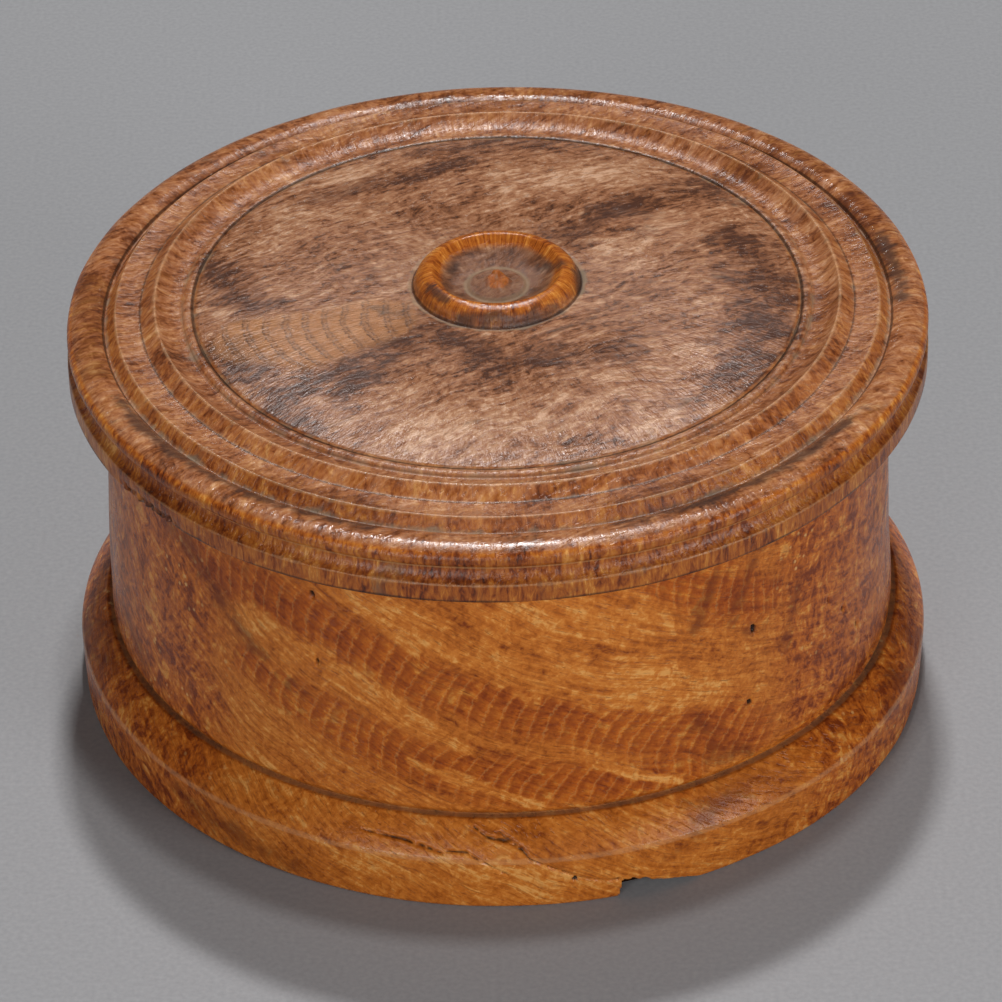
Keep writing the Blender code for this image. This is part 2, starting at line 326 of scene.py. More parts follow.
# Figure of the wood round the wall, each a line of (angle, height, half width): bands crossed by growth
# lines, golden streaks between them, and dark patches.
GROWTH_BANDS = [
    [(-48, 0.0640, 0.0070), (-36, 0.0625, 0.0100), (-25, 0.0594, 0.0105), (-6, 0.0487, 0.0100)],
    [(-6, 0.0487, 0.0100), (12, 0.0405, 0.0100), (24, 0.0335, 0.0105), (33, 0.0300, 0.0095)],
    [(-38, 0.0450, 0.0060), (-23, 0.0374, 0.0085), (-12, 0.0316, 0.0090), (0, 0.0275, 0.0095)],
    [(0, 0.0275, 0.0095), (12, 0.0248, 0.0075), (26, 0.0225, 0.0065)],
    [(24, 0.0700, 0.0090), (33, 0.0620, 0.0100), (40, 0.0560, 0.0080)],
    [(30, 0.0300, 0.0080), (38, 0.0260, 0.0080)],
]
GOLDEN_STREAKS = [
    [(-38, 0.0560, 0.0050), (-26, 0.0510, 0.0055), (-16, 0.0440, 0.0042), (-4, 0.0342, 0.0012)],
    [(-13, 0.0312, 0.0012), (-6, 0.0275, 0.0024), (5, 0.0206, 0.0012)],
    [(13, 0.0295, 0.0012), (18, 0.0258, 0.0022), (25, 0.0205, 0.0012)],
    [(-25, 0.0705, 0.0030), (-12, 0.0620, 0.0065), (6, 0.0530, 0.0090)],
    [(6, 0.0530, 0.0090), (22, 0.0455, 0.0090), (31, 0.039, 0.005)],
    [(2, 0.0700, 0.0070), (14, 0.0650, 0.0100), (22, 0.0600, 0.0070)],
    [(-20, 0.0100, 0.0060), (4, 0.0070, 0.0060), (14, 0.0050, 0.0040)],
]
DARK_PATCHES = [
    [(-64, 0.0700, 0.0040), (-56, 0.0690, 0.0070), (-46, 0.0610, 0.0060), (-36, 0.0480, 0.0040)],
    [(-30, 0.0435, 0.0035), (-27, 0.0425, 0.0035)],
    [(-70, 0.0300, 0.0040), (-63, 0.0240, 0.0050)],
    [(28, 0.0360, 0.0040), (31, 0.0260, 0.0050), (36, 0.0220, 0.0040)],
    [(34, 0.0560, 0.0030), (39, 0.0690, 0.0035)],
    [(37, 0.0510, 0.0030), (39, 0.0500, 0.0030)],
    [(28, 0.0560, 0.0030), (31, 0.0660, 0.0035)],
    [(44, 0.0430, 0.0040), (48, 0.0580, 0.0030)],
    [(-84, 0.0120, 0.0100), (-72, 0.0150, 0.0090)],
    [(-48, 0.0080, 0.0050), (-38, 0.0050, 0.0060), (-28, 0.0030, 0.0050)],
    [(64, 0.0140, 0.0070), (78, 0.0130, 0.0090)],
    [(22, 0.0080, 0.0030), (26, 0.0140, 0.0050), (34, 0.0170, 0.0040)],
]


def traced(spots, lines):
    """How near each spot lies to the nearest of several drawn lines."""
    return np.clip(np.max([drawn(spots, line) for line in lines], 0), 0, 1)


def figured(spots, lines):
    """The same for lines of (angle, height, half width), laid round the wall."""
    flat = [[(math.radians(at) * WALL_BASE_RADIUS, up, wide) for at, up, wide in line] for line in lines]
    return traced(spots, flat)


GROOVE_SHADOW_SHARE = 0.32
CRACK_DARK_SHARE = 0.50
CHIP_SHADE_SHARE = 0.7
BURR_START, BURR_FULL = 30, 56
# Painted shadow: a dark line along the bottom of the foot's groove, which goes into the near-black layer.
GROOVE_SHADOW_RISE = 0.0002
GROOVE_SHADOW_EDGE = (0.0001, 0.0005)
SOFT_EDGE = (0.0003, 0.0012)
round_wall = np.stack([np.radians(angle) * WALL_BASE_RADIUS, height], -1)
groove_away = np.abs(height - QUIRK_HEIGHT) + np.abs(radius - WALL_BASE_RADIUS)
groove_shadow = 1 - smooth(np.abs(height - QUIRK_HEIGHT - GROOVE_SHADOW_RISE), *GROOVE_SHADOW_EDGE)
groove_shadow = groove_shadow * outside * GROOVE_SHADOW_SHARE
# Painted shade darkens the chip broken out of the foot's lower edge.
shaded_chip = chipped * CHIP_SHADE_SHARE * (chip_share > 0.05)
shoulder_away = np.hypot(height - FOOT_SHOULDER_HEIGHT, radius - FOOT_RADIUS)
body_marks = {
    "banded": figured(round_wall, GROWTH_BANDS) * outside,
    "golden": figured(round_wall, GOLDEN_STREAKS) * outside,
    "burnt": figured(round_wall, DARK_PATCHES) * outside,
    "burred": smooth(np.abs(angle), BURR_START, BURR_FULL) * outside,
    # Near-black fill: painted shade in the worm holes, the chip and the foot's groove, and darker cracks.
    "shade_and_grime": np.clip(np.max([pitted, cracked * CRACK_DARK_SHARE, shaded_chip, groove_shadow], 0), 0, 1),
    "dust": np.where(outside, 1 - smooth(groove_away, *SOFT_EDGE), 0),
    # Worn shoulder arris: pale rubbed wood with a painted highlight.
    "worn_and_highlit": (1 - smooth(shoulder_away, *SOFT_EDGE)) * outside,
    "bare": np.where(outside, 0.0, 1.0),
}
body_ends = [(0, 0, body_line[0][1]), (0, 0, body_line[-1][1])]
box = skinned("turned_box", body_places, body_ends, body_marks)


# Box body, its wood
# Figured hardwood such as elm or ash burr, scraped smooth, oiled and waxed for years until it turned from
# honey to red-brown with a soft sheen. Bands of growth lines and golden streaks run down to the right across
# the front, with a mottled burr at both sides.

def linear(colour):
    """A linear RGBA colour from an sRGB hex value."""
    shares = [int(colour[at : at + 2], 16) / 255 for at in (1, 3, 5)]
    return [s / 12.92 if s <= 0.04045 else ((s + 0.055) / 1.055) ** 2.4 for s in shares] + [1.0]


def add(tree, kind, inputs=None, stops=(), **settings):
    """Adds a node with its settings; inputs holds values, hex colours and the outputs that feed it."""
    node = tree.nodes.new("ShaderNode" + kind)
    for name, value in settings.items():
        setattr(node, name, value)
    for index, (place, colour) in enumerate(stops):
        element = node.color_ramp.elements[index] if index < 2 else node.color_ramp.elements.new(place)
        element.position = place
        element.color = linear(colour) if isinstance(colour, str) else (colour, colour, colour, 1)
    for name, value in (inputs or {}).items():
        if isinstance(value, bpy.types.NodeSocket):
            tree.links.new(value, node.inputs[name])
        else:
            node.inputs[name].default_value = linear(value) if isinstance(value, str) else value
    return next(output for output in node.outputs if output.enabled)


BODY_SHADES = [(0.00, "#863c12"), (0.25, "#b2601d"), (0.50, "#cb7328"), (0.75, "#dd8736"), (1.00, "#f2ac5c")]
BAND_SHADES = [(0.00, "#7e330a"), (0.25, "#a84f15"), (0.50, "#c2631b"), (0.75, "#d27524"), (1.00, "#e8983e")]
BODY_DARK = "#6a2a0e"
BODY_WEIGHTS = (("figure", 0.9), ("streaks", 1.4), ("mottle", 1.2), ("fleck", 1.3))
BODY_MIDDLE_SHADE = 0.5
BODY_WANDER_SCALE = 28.0
WANDER_REACH = 0.010
FLOW_FALL = 0.45
FLOW_STEEPENING = -7.0
FLOW_BEND_START = 0.02
EYES_PER_METRE = 450.0
GROWTH_SPACING = 0.0031
BAND_SPACING = 0.020
BAND_MIDDLE = 0.0456
BAND_FALL = 0.375
GROWTH_LEAN = 0.40
GROWTH_BOW = 24.0

body_wood = bpy.data.materials.new("waxed_burr_wood")
body_wood.use_nodes = True
tree = body_wood.node_tree
shader = tree.nodes["Principled BSDF"]
place = add(tree, "TexCoord").node.outputs["Object"]
wander = add(tree, "TexNoise", {"Vector": place, "Scale": BODY_WANDER_SCALE, "Detail": 2.0})
wander = add(tree, "VectorMath", {0: wander.node.outputs["Color"], 1: [0.5] * 3}, operation="SUBTRACT")
wander = add(tree, "VectorMath", {0: wander, 1: [WANDER_REACH] * 3}, operation="MULTIPLY")
bent = add(tree, "VectorMath", {0: place, 1: wander}, operation="ADD")
x, y, z = add(tree, "SeparateXYZ", {0: bent}).node.outputs

# The streaks fall to the right, and steeper towards the left-hand side.
left_side = add(tree, "Math", {0: x, 1: FLOW_BEND_START}, operation="ADD")
left_side = add(tree, "Math", {0: left_side, 1: 0.0}, operation="MINIMUM")
steeper = add(tree, "Math", {0: left_side, 1: left_side}, operation="MULTIPLY")
across = add(tree, "Math", {0: x, 1: FLOW_FALL, 2: z}, operation="MULTIPLY_ADD")
across = add(tree, "Math", {0: steeper, 1: FLOW_STEEPENING, 2: across}, operation="MULTIPLY_ADD")
down = add(tree, "Math", {0: z, 1: FLOW_FALL}, operation="MULTIPLY")
along = add(tree, "Math", {0: x, 1: down}, operation="SUBTRACT")
flow = add(tree, "CombineXYZ", {0: along, 1: across, 2: y})

# Patterns of the wood: the space each lies in, its length, width and depth in metres, detail and distortion.
# Real pores and threads are about 0.1 mm wide, and are drawn three to six times as wide, so that they show.
body_patterns = {}
for name, space, spread, detail, twist in (
    ("figure", flow, (0.045, 0.010, 0.020), 3.0, 0.3),
    ("streaks", flow, (0.016, 0.0014, 0.008), 5.0, 0.2),
    ("threads", flow, (0.009, 0.0006, 0.004), 4.0, 0.5),
    ("fleck", bent, (0.0014, 0.0010, 0.0012), 4.0, 0.6),
    ("pores", flow, (0.0030, 0.00035, 0.0012), 2.0, 0.0),
    ("mottle", bent, (0.0050, 0.0050, 0.0050), 6.0, 0.8),
    ("burr", bent, (0.0034, 0.0034, 0.0046), 6.0, 1.2),
    ("clouds", place, (0.0160, 0.0160, 0.0160), 3.0, 0.0),
    ("dots", place, (0.0009, 0.0009, 0.0009), 1.0, 0.0),
):
    scaled = add(tree, "VectorMath", {0: space, 1: [1 / size for size in spread]}, operation="MULTIPLY")
    settings = {"Vector": scaled, "Scale": 1.0, "Detail": detail, "Roughness": 0.6, "Distortion": twist}
    body_patterns[name] = add(tree, "TexNoise", settings)

# Where each mark shows: how much the mottle frays its edge, and the shares at which it starts and is full.
body_shares = {}
for name, fray, start, full in (
    ("banded", 1.6, 0.05, 0.65),
    ("golden", 1.6, 0.05, 0.60),
    ("burnt", 3.2, 0.20, 1.20),
    ("burred", 1.2, 0.25, 0.75),
    ("shade_and_grime", 0.3, 0.10, 0.60),
    ("dust", 1.0, 0.30, 0.90),
    ("worn_and_highlit", 1.2, 0.40, 0.90),
    ("bare", 0.0, 0.40, 0.60),
):
    mark = add(tree, "Attribute", attribute_name=name).node.outputs["Fac"]
    frayed = add(tree, "Math", {0: body_patterns["mottle"], 1: fray, 2: mark}, operation="MULTIPLY_ADD")
    reach = {"Value": frayed, "From Min": start + fray / 2, "From Max": full + fray / 2}
    body_shares[name] = add(tree, "MapRange", reach, interpolation_type="SMOOTHSTEP")

shade = BODY_MIDDLE_SHADE - sum(weight for pattern, weight in BODY_WEIGHTS) / 2
for pattern, weight in BODY_WEIGHTS:
    shade = add(tree, "Math", {0: body_patterns[pattern], 1: weight, 2: shade}, operation="MULTIPLY_ADD")
shade = add(tree, "Math", {0: body_shares["golden"], 1: 0.18, 2: shade}, operation="MULTIPLY_ADD")
burr_dark = add(tree, "Math", {0: body_patterns["burr"], 1: 0.54}, operation="SUBTRACT")
burr_dark = add(tree, "Math", {0: burr_dark, 1: body_shares["burred"]}, operation="MULTIPLY")
shade = add(tree, "Math", {0: burr_dark, 1: 2.6, 2: shade}, operation="MULTIPLY_ADD")
golden_wood = add(tree, "ValToRGB", {0: shade}, BODY_SHADES)
band_wood = add(tree, "ValToRGB", {0: shade}, BAND_SHADES)
redder = add(tree, "Math", {0: body_shares["burred"], 1: 0.7}, operation="MULTIPLY")
redder = add(tree, "Math", {0: redder, 1: body_shares["banded"]}, operation="MAXIMUM")
plain = add(tree, "Math", {0: 1.0, 1: body_shares["golden"]}, operation="SUBTRACT")
redder = add(tree, "Math", {0: redder, 1: plain}, operation="MULTIPLY")

# Growth lines: pale curved lines, each with a darker side, that cross a band every 3.1 mm.
toward_front = add(tree, "Math", {0: y, 1: -1.0}, operation="MULTIPLY")
turn = add(tree, "Math", {0: x, 1: toward_front}, operation="ARCTAN2")
round_wall = add(tree, "Math", {0: turn, 1: WALL_BASE_RADIUS}, operation="MULTIPLY")
fall = add(tree, "Math", {0: round_wall, 1: BAND_FALL, 2: z}, operation="MULTIPLY_ADD")
band_limits = {0: fall, 1: BAND_MIDDLE + BAND_SPACING / 2, 2: BAND_MIDDLE - BAND_SPACING / 2}
in_band = add(tree, "Math", band_limits, operation="WRAP")
in_band = add(tree, "Math", {0: in_band, 1: BAND_MIDDLE}, operation="SUBTRACT")
bow = add(tree, "Math", {0: in_band, 1: GROWTH_BOW, 2: GROWTH_LEAN}, operation="MULTIPLY_ADD")
bow = add(tree, "Math", {0: bow, 1: in_band}, operation="MULTIPLY")
growth = add(tree, "Math", {0: round_wall, 1: bow}, operation="SUBTRACT")
growth = add(tree, "Math", {0: growth, 1: GROWTH_SPACING}, operation="DIVIDE")
growth = add(tree, "Math", {0: body_patterns["clouds"], 1: 1.2, 2: growth}, operation="MULTIPLY_ADD")
growth = add(tree, "Math", {0: body_patterns["dots"], 1: 0.42, 2: growth}, operation="MULTIPLY_ADD")
growth = add(tree, "Math", {0: growth}, operation="FRACT")
pale_line = add(tree, "ValToRGB", {0: growth}, [(0.0, 0.0), (0.07, 1.0), (0.17, 0.0)])
dark_side = add(tree, "ValToRGB", {0: growth}, [(0.16, 0.0), (0.30, 1.0), (0.95, 0.0)])
lined = add(tree, "Math", {0: body_shares["banded"], 1: plain}, operation="MULTIPLY")
pale_line = add(tree, "Math", {0: pale_line, 1: lined}, operation="MULTIPLY")
dark_side = add(tree, "Math", {0: dark_side, 1: lined}, operation="MULTIPLY")

# Dark threads and pores along the streaks, and the small pale eyes of the burr.
threads = {"Value": body_patterns["threads"], "From Min": 0.54, "From Max": 0.68}
threads = add(tree, "MapRange", threads, interpolation_type="SMOOTHSTEP")
pores = {"Value": body_patterns["pores"], "From Min": 0.58, "From Max": 0.72}
pores = add(tree, "MapRange", pores, interpolation_type="SMOOTHSTEP")
cell_space = add(tree, "VectorMath", {0: place, 1: [EYES_PER_METRE] * 3}, operation="MULTIPLY")
cells = add(tree, "TexVoronoi", {"Vector": cell_space, "Scale": 1.0, "Randomness": 1.0})
eyes = {"Value": cells, "From Min": 0.26, "From Max": 0.12}
eyes = add(tree, "MapRange", eyes, interpolation_type="SMOOTHSTEP")
eyes_here = {"Value": body_patterns["clouds"], "From Min": 0.50, "From Max": 0.62}
eyes_here = add(tree, "MapRange", eyes_here, interpolation_type="SMOOTHSTEP")
eyes = add(tree, "Math", {0: eyes, 1: eyes_here}, operation="MULTIPLY")
eyes = add(tree, "Math", {0: eyes, 1: body_shares["burred"]}, operation="MULTIPLY")

# The layers of colour from the wood up to the dust: where each shows, how strongly, and its colour.
colour = add(tree, "Mix", {0: redder, 6: golden_wood, 7: band_wood}, data_type="RGBA")
for share, strength, paint in (
    (dark_side, 0.62, "#8a3c12"),
    (pale_line, 0.36, "#d09c5c"),
    (eyes, 1.0, "#e2aa68"),
    (threads, 0.40, "#84441c"),
    (body_shares["burnt"], 0.62, BODY_DARK),
    (pores, 0.45, BODY_DARK),
    # Pale tan on the shoulder's arris: rubbed wood with a painted highlight.
    (body_shares["worn_and_highlit"], 0.22, "#e0b080"),
    (body_shares["dust"], 0.36, "#a08c6c"),
    # Near-black: painted shade in the worm holes, the chip and the foot's groove, and darker cracks.
    (body_shares["shade_and_grime"], 0.95, "#1a0f08"),
    (body_shares["bare"], 0.45, "#b48a5a"),
):
    factor = add(tree, "Math", {0: share, 1: strength}, operation="MULTIPLY")
    colour = add(tree, "Mix", {0: factor, 6: colour, 7: paint}, data_type="RGBA")
tree.links.new(colour, shader.inputs["Base Color"])

# Sheen of the wax: patchy, brighter on worn arrises and matt in dust, over a fine relief of the grain.
gloss = {"Value": body_patterns["clouds"], "From Min": 0.3, "From Max": 0.7, "To Min": 0.20, "To Max": 0.36}
gloss = add(tree, "MapRange", gloss)
gloss = add(tree, "Math", {0: body_shares["worn_and_highlit"], 1: -0.12, 2: gloss}, operation="MULTIPLY_ADD")
matt = add(tree, "Math", {0: body_shares["dust"], 1: body_shares["bare"]}, operation="MAXIMUM")
gloss = add(tree, "Math", {0: matt, 1: 0.4, 2: gloss}, operation="MULTIPLY_ADD")
tree.links.new(gloss, shader.inputs["Roughness"])
relief = add(tree, "Math", {0: pores, 1: -0.8, 2: body_patterns["streaks"]}, operation="MULTIPLY_ADD")
relief = add(tree, "Math", {0: body_patterns["burr"], 1: 0.5, 2: relief}, operation="MULTIPLY_ADD")
relief = add(tree, "Math", {0: body_patterns["fleck"], 1: 0.6, 2: relief}, operation="MULTIPLY_ADD")
bump = add(tree, "Bump", {"Strength": 0.35, "Distance": 0.0004, "Height": relief})
tree.links.new(bump, shader.inputs["Normal"])
shader.inputs["Specular IOR Level"].default_value = 0.26
box.data.materials.append(body_wood)
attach(box, "body")
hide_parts("box_body")


# Lid, its shape
# One slice of the same wood, turned with a rolled edge over a cove, a flat, a ridge and a bead round a
# shallow dome, and a ring knob with a button in its bowl. A spigot underneath drops into the box's mouth.

SEAT_GAP = 0.0003
SPIGOT_CLEARANCE = 0.0005
SPIGOT_DEPTH = 0.0060
SPIGOT_THICKNESS = 0.0050
SPIGOT_CHAMFER = 0.0010
LID_HOLLOW_DEPTH = 0.0035
LID_HOLLOW_CROWN = 0.0040
LID_RADIUS = 0.0890
LID_EDGE_HEIGHT = 0.0040
LID_EDGE_EASE = 0.0004
COVE_HEIGHT = 0.0030
COVE_SETBACK = 0.0019
COVE_SINK = 0.0004
ROLL_SETBACK = 0.0002
ROLL_HALF_WIDTH = 0.0041
ROLL_HALF_HEIGHT = 0.0026
ROLL_INNER_ANGLE = 158
ROLL_OUTER_ANGLE = -50
LIST_HEIGHT = 0.0130
LIST_RISE_WIDTH = 0.0022
LIST_WIDTH = 0.0053
LIST_DISH = 0.0004
LIST_EASE = 0.0003
RIDGE_RISE = 0.0021
RIDGE_RISE_WIDTH = 0.0029
RIDGE_EASE = 0.0009
INNER_GROOVE_WIDTH = 0.0056
INNER_GROOVE_DROP = 0.0006
BEAD_RADIUS = 0.0012
BEAD_RISE = 0.0008
DOME_RIM_STEP = 0.0005
DOME_RISE = 0.0030
DOME_FULLNESS = 3.2
KNOB_BASE_RADIUS = 0.0180
KNOB_QUIRK_WIDTH = 0.0010
KNOB_QUIRK_DEPTH = 0.0003
KNOB_RING_WIDTH = 0.0036
KNOB_RISE = 0.0036
BOWL_DEPTH = 0.0044
BUTTON_RADIUS = 0.0062
BUTTON_RISE = 0.0007
LID_SWELL_SHARE = 1.003
LID_BULGE = 0.0006
LID_HEIGHT_SHARE = 0.995
ROLL_DROP = 0.0003
LID_BULGE_ANGLE = 135.0
LID_BULGE_REACH = 45
LID_OFFSET = -0.00028
LID_ROW = 0.0007
DOME_ROW = 0.0016

roll_middle = LID_RADIUS - ROLL_SETBACK - ROLL_HALF_WIDTH
list_edge = roll_middle + ROLL_HALF_WIDTH * math.cos(math.radians(ROLL_INNER_ANGLE))
list_edge -= LIST_RISE_WIDTH
ridge_foot = list_edge - LIST_WIDTH
ridge = ridge_foot - RIDGE_RISE_WIDTH
bead_edge = ridge - INNER_GROOVE_WIDTH
dome_rim = bead_edge - 2 * BEAD_RADIUS
groove_height = LIST_HEIGHT - INNER_GROOVE_DROP
dome_crown = groove_height + DOME_RIM_STEP + DOME_RISE
crest = (KNOB_BASE_RADIUS - KNOB_QUIRK_WIDTH - KNOB_RING_WIDTH, dome_crown + KNOB_RISE)
bowl_height = crest[1] - BOWL_DEPTH
cove_top = (LID_RADIUS - COVE_SETBACK, LID_EDGE_HEIGHT + COVE_HEIGHT)
roll_centre = (roll_middle, cove_top[1] + ROLL_HALF_HEIGHT)
button_top = bowl_height + BUTTON_RISE
lid_corners = [(0, button_top), (BUTTON_RADIUS - BUTTON_RISE, button_top, BUTTON_RISE)]
lid_corners += [(BUTTON_RADIUS, bowl_height, LID_EDGE_EASE)]
lid_corners += bowed((BUTTON_RADIUS, bowl_height), crest, -BOWL_DEPTH / 6, 16)
lid_corners += arc((crest[0], dome_crown), (KNOB_RING_WIDTH, KNOB_RISE), 90, 10, 16)
lid_corners += [(KNOB_BASE_RADIUS - KNOB_QUIRK_WIDTH / 2, dome_crown - KNOB_QUIRK_DEPTH, LID_EDGE_EASE)]
for share in np.linspace(0, 1, 25):
    dome_radius = KNOB_BASE_RADIUS + (dome_rim - KNOB_BASE_RADIUS) * share
    lid_corners.append((dome_radius, dome_crown - DOME_RISE * share**DOME_FULLNESS))
lid_corners += [(dome_rim, groove_height, LID_EDGE_EASE)]
lid_corners += arc((dome_rim + BEAD_RADIUS, groove_height), (BEAD_RADIUS, BEAD_RISE), 150, 0, 10)
ridge_top = (ridge, LIST_HEIGHT + RIDGE_RISE, RIDGE_EASE)
lid_corners += bowed(lid_corners[-1], ridge_top, -0.0008, 10)
lid_corners += [ridge_top]
lid_corners += [(ridge_foot, LIST_HEIGHT - LIST_DISH, LIST_EASE)]
lid_corners += bowed((ridge_foot, LIST_HEIGHT - LIST_DISH), (list_edge, LIST_HEIGHT), -LIST_DISH / 2, 6)
lid_corners += [(list_edge, LIST_HEIGHT, LIST_EASE)]
lid_corners += arc(roll_centre, (ROLL_HALF_WIDTH, ROLL_HALF_HEIGHT), ROLL_INNER_ANGLE, ROLL_OUTER_ANGLE, 32)
lid_corners += [(*cove_top, LIST_EASE)]
lid_corners += bowed(cove_top, (LID_RADIUS, LID_EDGE_HEIGHT), -COVE_SINK, 6)
lid_corners += [(LID_RADIUS, LID_EDGE_HEIGHT, LID_EDGE_EASE), (LID_RADIUS, 0, LID_EDGE_EASE)]
spigot = WALL_TOP_RADIUS - WALL_THICKNESS - SPIGOT_CLEARANCE
spigot_inside = spigot - SPIGOT_THICKNESS
lid_corners += [(spigot, 0, QUIRK_EASE), (spigot, -SPIGOT_DEPTH, SPIGOT_CHAMFER)]
lid_corners += [(spigot_inside, -SPIGOT_DEPTH, SPIGOT_CHAMFER), (spigot_inside, LID_HOLLOW_DEPTH)]
for share in np.linspace(1, 0, 13)[1:]:
    lid_corners.append((spigot_inside * share, LID_HOLLOW_DEPTH + LID_HOLLOW_CROWN * (1 - share**2)))
seat = RIM_HEIGHT + SEAT_GAP
hollow_top = seat + LID_HOLLOW_DEPTH + LID_HOLLOW_CROWN
lid_corners = [(corner[0], corner[1] + seat, *corner[2:]) for corner in lid_corners]


def lid_row(place):
    """How close the lid's rows lie: wider on the dome, wide underneath."""
    if place[1] < hollow_top and place[0] < spigot:
        return HIDDEN_ROW
    return DOME_ROW if KNOB_BASE_RADIUS < place[0] < dome_rim - LID_ROW else LID_ROW


SEEN_COLUMNS = (-100, 100, 0.6)
ROUGH_COLUMNS = (-61, -43, 0.35)
LID_COLUMN_STEP = 1.2
EDGE_BAND = 0.002
lid_line = closer(eased(lid_corners), lid_row)
lid_angles = columns(LID_COLUMN_STEP, [SEEN_COLUMNS, ROUGH_COLUMNS])
lid_places, lid_facing = spun(lid_line, lid_angles)
lid_radius = np.hypot(lid_places[..., 0], lid_places[..., 1])
lid_height = lid_places[..., 2].copy()
underneath = (lid_height < hollow_top) & (lid_radius < LID_RADIUS - EDGE_BAND / 2)
underneath &= lid_facing[..., 2] < 0.1
lid_swell = 1 + (LID_SWELL_SHARE - 1) * smooth(lid_radius, spigot, LID_RADIUS) * underneath
lid_swell = np.where(underneath, lid_swell, LID_SWELL_SHARE)
lid_places[..., 1] *= lid_swell
bulge = LID_BULGE * (1 - smooth(np.abs(lid_angles - LID_BULGE_ANGLE), 0, LID_BULGE_REACH))[:, None]
bulge = bulge * smooth(lid_radius, dome_rim, LID_RADIUS) * ~underneath
lid_places[..., :2] *= (1 + bulge / np.maximum(lid_radius, dome_rim))[..., None]
above_seat = np.maximum(lid_height - seat, 0)
lid_places[..., 2] -= above_seat * (1 - LID_HEIGHT_SHARE) * ~underneath
above_cove = above_seat > LID_EDGE_HEIGHT + COVE_HEIGHT
dropped = smooth(lid_radius, list_edge, list_edge + LIST_RISE_WIDTH) * above_cove
lid_places[..., 2] -= ROLL_DROP * dropped * ~underneath

# Waves from hand turning, and a roughly broken nub where the wood was cut from the lathe.
LID_WAVELENGTH = 0.012
NUB_RADIUS = 0.0032
NUB_RISE = 0.0020
NUB_BREAKS = 0.0016
NUB_PLACE = (0.0002, -0.0002)
lid_waves = unevenness(lid_places, LID_WAVELENGTH, 5.0) * TURNING_WAVE
lid_places += lid_facing * (lid_waves * ~underneath)[..., None]
plan = lid_places[..., :2]
nub_away = np.linalg.norm(plan - np.array(NUB_PLACE), axis=-1)
nub = (1 - smooth(nub_away, NUB_RADIUS * 0.45, NUB_RADIUS)) * ~underneath
nub_break = 0.75 + 0.9 * unevenness(lid_places, NUB_BREAKS, 2.0) + plan[..., 1] / NUB_RADIUS * 0.3
lid_places[..., 2] += NUB_RISE * nub * np.clip(nub_break, 0.2, 1.2)

# Rough, broken lower edge at the left, where the lid has been pulled off by its rim.
ROUGH_START, ROUGH_END = -60.0, -44.0
ROUGH_FADE = 4
ROUGH_DEPTH = 0.0011
ROUGH_TOP = (0.0008, 0.0026)
ROUGH_BREAKS = 0.0013
rough = 1 - smooth(lid_angles, ROUGH_END - ROUGH_FADE, ROUGH_END)
rough = smooth(lid_angles, ROUGH_START, ROUGH_START + ROUGH_FADE) * rough
rough = rough[:, None] * (1 - smooth(above_seat, *ROUGH_TOP)) * (lid_radius > LID_RADIUS - EDGE_BAND)
rough = rough * np.clip(0.5 + 1.2 * unevenness(lid_places, ROUGH_BREAKS, 4.0), 0, 1)
lid_inward = np.stack([lid_places[..., 0], lid_places[..., 1], lid_height * 0], -1) / lid_radius[..., None]
lid_places -= lid_inward * (rough * ROUGH_DEPTH)[..., None]
lid_places[..., 0] += LID_OFFSET
lid_places[..., 2] += lid_places[..., 0] * LEAN_TO_RIGHT + lid_places[..., 1] * LEAN_TO_BACK


def near(value, centre, reach):
    """1 at centre, fading to 0 at reach from it."""
    return 1 - smooth(np.abs(value - centre), 0, reach)


def rings(lines):
    """Shares of a mark that lies in rings (radius, reach, share) on the lid."""
    return sum(near(lid_radius, at, reach) * share for at, reach, share in lines)


# Rings of wax dust in the grooves with dark lines of painted shade beside it, worn arrises with a painted
# highlight, and polished crests.
roll_quirk = roll_centre[0] - ROLL_HALF_WIDTH
DUST_RINGS = [
    (roll_quirk, 0.0008, 0.6),
    (ridge_foot, 0.0006, 0.4),
    (bead_edge, 0.0010, 0.6),
    (dome_rim, 0.0008, 0.6),
    (KNOB_BASE_RADIUS, 0.0009, 0.9),
    (BUTTON_RADIUS, 0.0014, 1.0),
]
# Painted shade: dark lines in the grooves beside the dust, at the roll's quirk, the ridge's foot, the dome's
# rim and the knob's base.
SHADE_RINGS = [
    (roll_quirk + 0.0007, 0.0005, 1.0),
    (ridge_foot + 0.0002, 0.0004, 0.7),
    (dome_rim + 0.0004, 0.0005, 1.0),
    (KNOB_BASE_RADIUS - 0.0006, 0.0005, 1.0),
]
# Worn arrises on the ridge, the list's edge and the lid's lower arris: pale rubbed wood with a painted
# highlight.
WORN_HIGHLIT_RINGS = [(ridge, 0.0008, 1.0), (list_edge, 0.0006, 1.0)]
WORN_HIGHLIT_EDGE_REACH = 0.0006
POLISHED_RINGS = [(crest[0] + 0.0006, 0.0034, 1.0), (roll_centre[0], 0.0036, 1.0)]
KNOB_RING = [(crest[0] + 0.0010, 0.0048, 1.3)]
NUB_SHARE = 0.9
BOWL_EDGE = (crest[0] - 0.0015, crest[0] + 0.0005)
SEAM_SHADOW_TOP = (0.0001, 0.0008)
SEAM_SHADOW_WAVELENGTH = 0.010

